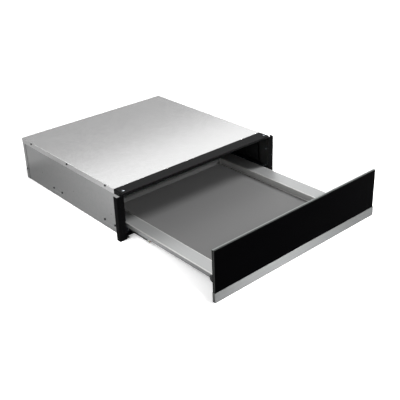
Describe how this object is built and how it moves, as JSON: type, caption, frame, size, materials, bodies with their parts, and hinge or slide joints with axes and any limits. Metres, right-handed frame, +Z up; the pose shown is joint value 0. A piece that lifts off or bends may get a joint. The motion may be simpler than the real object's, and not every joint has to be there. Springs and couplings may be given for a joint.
{
  "type": "built-in warming drawer",
  "caption": "Built-in handleless warming drawer pulled open: steel casing, black frame, telescopic runners, steel tray with mat, black glass front with a brushed steel strip.",
  "frame": {"origin": "middle of the casing's underside, half way between the front frame's front face and the rear panel's outer face", "axes": "+X to the right as seen from the front, +Y towards the rear (the way the drawer closes), +Z up"},
  "size_m": [0.5944, 0.9397, 0.14],
  "materials": {
    "galvanised_steel": "galvanised sheet with a faint spangle, satin",
    "black_enamel": "satin black enamel on steel sheet",
    "stainless_sheet": "fine-brushed stainless sheet, satin",
    "brushed_trim": "brushed stainless, lines along the strip",
    "runner_steel": "zinc-plated rolled steel",
    "zinc_plated": "bright zinc plate",
    "bright_steel": "polished steel",
    "dark_screws": "black phosphated screws",
    "black_glass": "black-backed float glass, polished, opaque",
    "grey_silicone": "smooth grey silicone, matt",
    "black_plastic": "fine-grained moulded plastic",
    "black_rubber": "soft black rubber",
    "mineral_wool": "mineral wool blanket",
    "heater_sheath": "heat-darkened nickel alloy tube",
    "motor_grey": "grey painted can",
    "white_ceramic": "glazed ceramic, off-white",
    "amber_lens": "amber indicator lens"
  },
  "bodies": {
    "casing": {"base_panel": "galvanised_steel", "cord_gland": "black_plastic", "cord_gland_nut": "black_plastic", "cover_screws": "dark_screws", "fan_motor": "motor_grey", "front_bottom_rail": "black_enamel", "front_post_left": "black_enamel", "front_post_right": "black_enamel", "front_top_bar": "black_enamel", "heater_element": "heater_sheath", "inner_shell": "black_enamel", "insulation_blanket": "mineral_wool", "latch_frame": "zinc_plated", "latch_pivot": "bright_steel", "motor_strap": "zinc_plated", "post_screws": "zinc_plated", "rear_baffle": "black_enamel", "rear_panel": "galvanised_steel", "runner_bracket_left": "zinc_plated", "runner_bracket_right": "zinc_plated", "runner_fixed_left": "runner_steel", "runner_fixed_right": "runner_steel", "runner_screws": "dark_screws", "shell_screws": "dark_screws", "side_panel_left": "galvanised_steel", "side_panel_right": "galvanised_steel", "terminal_block": "white_ceramic", "thermal_cutout": "white_ceramic", "top_cover": "galvanised_steel"},
    "drawer": {"front_glass": "black_glass", "front_carrier": "black_enamel", "front_trim": "brushed_trim", "front_stiffener": "stainless_sheet", "front_buffers": "black_rubber", "drawer_tray": "stainless_sheet", "tray_mat": "grey_silicone", "tray_rail_left": "black_enamel", "tray_rail_right": "black_enamel", "runner_drawer_left": "runner_steel", "runner_drawer_right": "runner_steel", "member_screws": "zinc_plated", "front_bracket_left": "zinc_plated", "front_bracket_right": "zinc_plated", "bracket_screws": "dark_screws", "latch_striker": "zinc_plated", "control_console": "black_plastic", "thermostat": "black_plastic", "switch_body": "black_plastic", "indicator_lens": "amber_lens"},
    "middle_left": {"runner_middle_left": "black_enamel"},
    "outer_cage_left": {"ball_cage_outer_left": "bright_steel"},
    "inner_cage_left": {"ball_cage_inner_left": "bright_steel"},
    "middle_right": {"runner_middle_right": "black_enamel"},
    "outer_cage_right": {"ball_cage_outer_right": "bright_steel"},
    "inner_cage_right": {"ball_cage_inner_right": "bright_steel"},
    "fan": {"fan_impeller": "bright_steel", "fan_shaft": "bright_steel"},
    "hook": {"latch_hook": "zinc_plated"},
    "knob": {"temperature_knob": "black_plastic"},
    "rocker": {"switch_rocker": "black_plastic"}
  },
  "joints": [
    {"name": "drawer_slide", "type": "slide", "parent": "casing", "child": "drawer", "axis": [0, 1, 0], "range_m": [0, 0.365]},
    {"name": "middle_slide_left", "type": "slide", "parent": "casing", "child": "middle_left", "axis": [0, 1, 0], "range_m": [0, 0.19]},
    {"name": "outer_cage_slide_left", "type": "slide", "parent": "casing", "child": "outer_cage_left", "axis": [0, 1, 0], "range_m": [0, 0.1]},
    {"name": "inner_cage_slide_left", "type": "slide", "parent": "casing", "child": "inner_cage_left", "axis": [0, 1, 0], "range_m": [0, 0.28]},
    {"name": "middle_slide_right", "type": "slide", "parent": "casing", "child": "middle_right", "axis": [0, 1, 0], "range_m": [0, 0.19]},
    {"name": "outer_cage_slide_right", "type": "slide", "parent": "casing", "child": "outer_cage_right", "axis": [0, 1, 0], "range_m": [0, 0.1]},
    {"name": "inner_cage_slide_right", "type": "slide", "parent": "casing", "child": "inner_cage_right", "axis": [0, 1, 0], "range_m": [0, 0.28]},
    {"name": "latch_pivot", "type": "hinge", "parent": "casing", "child": "hook", "pos_m": [0.018, 0.2615, 0.01375], "axis": [0, 0, -1], "range_deg": [0, 65]},
    {"name": "fan_spin", "type": "hinge", "parent": "casing", "child": "fan", "pos_m": [0, 0.2195, 0.09], "axis": [0, 1, 0], "continuous": true},
    {"name": "knob_turn", "type": "hinge", "parent": "drawer", "child": "knob", "pos_m": [0.212, -0.6095, 0.066], "axis": [0, 0, -1], "range_deg": [0, 270]},
    {"name": "switch_rock", "type": "hinge", "parent": "drawer", "child": "rocker", "pos_m": [0.154, -0.6095, 0.063], "axis": [0, 1, 0], "range_deg": [0, 16]}
  ],
  "couplings": [
    {"joint": "middle_slide_left", "follows": "drawer_slide", "ratio": 0.5},
    {"joint": "outer_cage_slide_left", "follows": "drawer_slide", "ratio": 0.25},
    {"joint": "inner_cage_slide_left", "follows": "drawer_slide", "ratio": 0.75},
    {"joint": "middle_slide_right", "follows": "drawer_slide", "ratio": 0.5},
    {"joint": "outer_cage_slide_right", "follows": "drawer_slide", "ratio": 0.25},
    {"joint": "inner_cage_slide_right", "follows": "drawer_slide", "ratio": 0.75}
  ]
}
